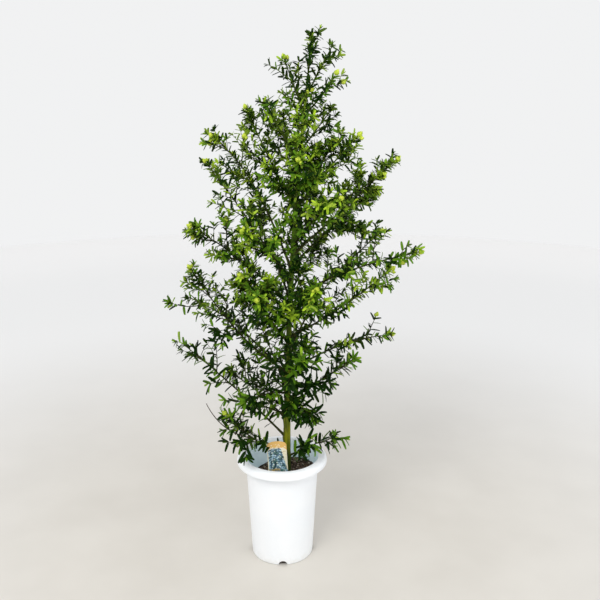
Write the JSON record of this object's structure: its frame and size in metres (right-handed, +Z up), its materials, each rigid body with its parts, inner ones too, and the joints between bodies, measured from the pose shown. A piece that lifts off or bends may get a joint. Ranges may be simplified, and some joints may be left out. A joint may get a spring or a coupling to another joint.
{
  "type": "potted california lilac",
  "caption": "Slim upright california lilac shrub with small evergreen leaves on rising limbs, planted in a tall white plastic pot with a rolled rim and an arched plant label.",
  "frame": {"origin": "middle of the pot's flat underside, at the level that it stands on", "axes": "+Z up along the pot's axis, +X to the right and -Y towards the viewer of the side that shows the label"},
  "size_m": [0.534, 0.4855, 1.1872],
  "materials": {
    "pot": "satin",
    "soil": "matte",
    "label": "satin",
    "bark": "satin",
    "leaves": "satin"
  },
  "bodies": {
    "root": {"pot": "pot", "soil": "soil", "plant_label": "label", "trunk": "bark", "bough_far_left": "bark", "bough_far_right": "bark", "bough_left_front": "bark", "bough_left_upper": "bark", "bough_low_long_left": "bark", "bough_lower_back": "bark", "bough_lower_front": "bark", "bough_lower_left": "bark", "bough_middle_back": "bark", "bough_middle_front_left": "bark", "leaves_crest_back": "leaves", "leaves_crest_front": "leaves", "leaves_crest_left": "leaves", "leaves_crest_middle_right": "leaves", "leaves_crest_right": "leaves", "leaves_far_left": "leaves", "leaves_far_right": "leaves", "leaves_high_back": "leaves", "leaves_high_front": "leaves", "leaves_high_left": "leaves", "leaves_high_right": "leaves", "leaves_high_right_back": "leaves", "leaves_inner_left_front": "leaves", "leaves_inner_right_back": "leaves", "leaves_inner_right_front": "leaves", "leaves_left_back": "leaves", "leaves_left_front": "leaves", "leaves_left_upper": "leaves", "leaves_low_back": "leaves", "leaves_low_front": "leaves", "leaves_low_inner_back": "leaves", "leaves_low_inner_left": "leaves", "leaves_low_inner_right": "leaves", "leaves_low_left": "leaves", "leaves_low_long_left": "leaves", "leaves_low_mid_right": "leaves", "leaves_low_right": "leaves", "leaves_low_side_left": "leaves", "leaves_lower_back": "leaves", "leaves_lower_front": "leaves", "leaves_lower_left": "leaves", "leaves_lower_right": "leaves", "leaves_middle_back": "leaves", "leaves_middle_front_left": "leaves", "leaves_middle_front_right": "leaves", "leaves_middle_inner_left": "leaves", "leaves_middle_right": "leaves", "leaves_peak": "leaves", "leaves_peak_right": "leaves", "leaves_right_back": "leaves", "leaves_right_behind": "leaves", "leaves_right_upper": "leaves", "leaves_tip_left": "leaves", "leaves_tip_right": "leaves", "leaves_upper_back": "leaves", "leaves_upper_front": "leaves"}
  },
  "joints": []
}
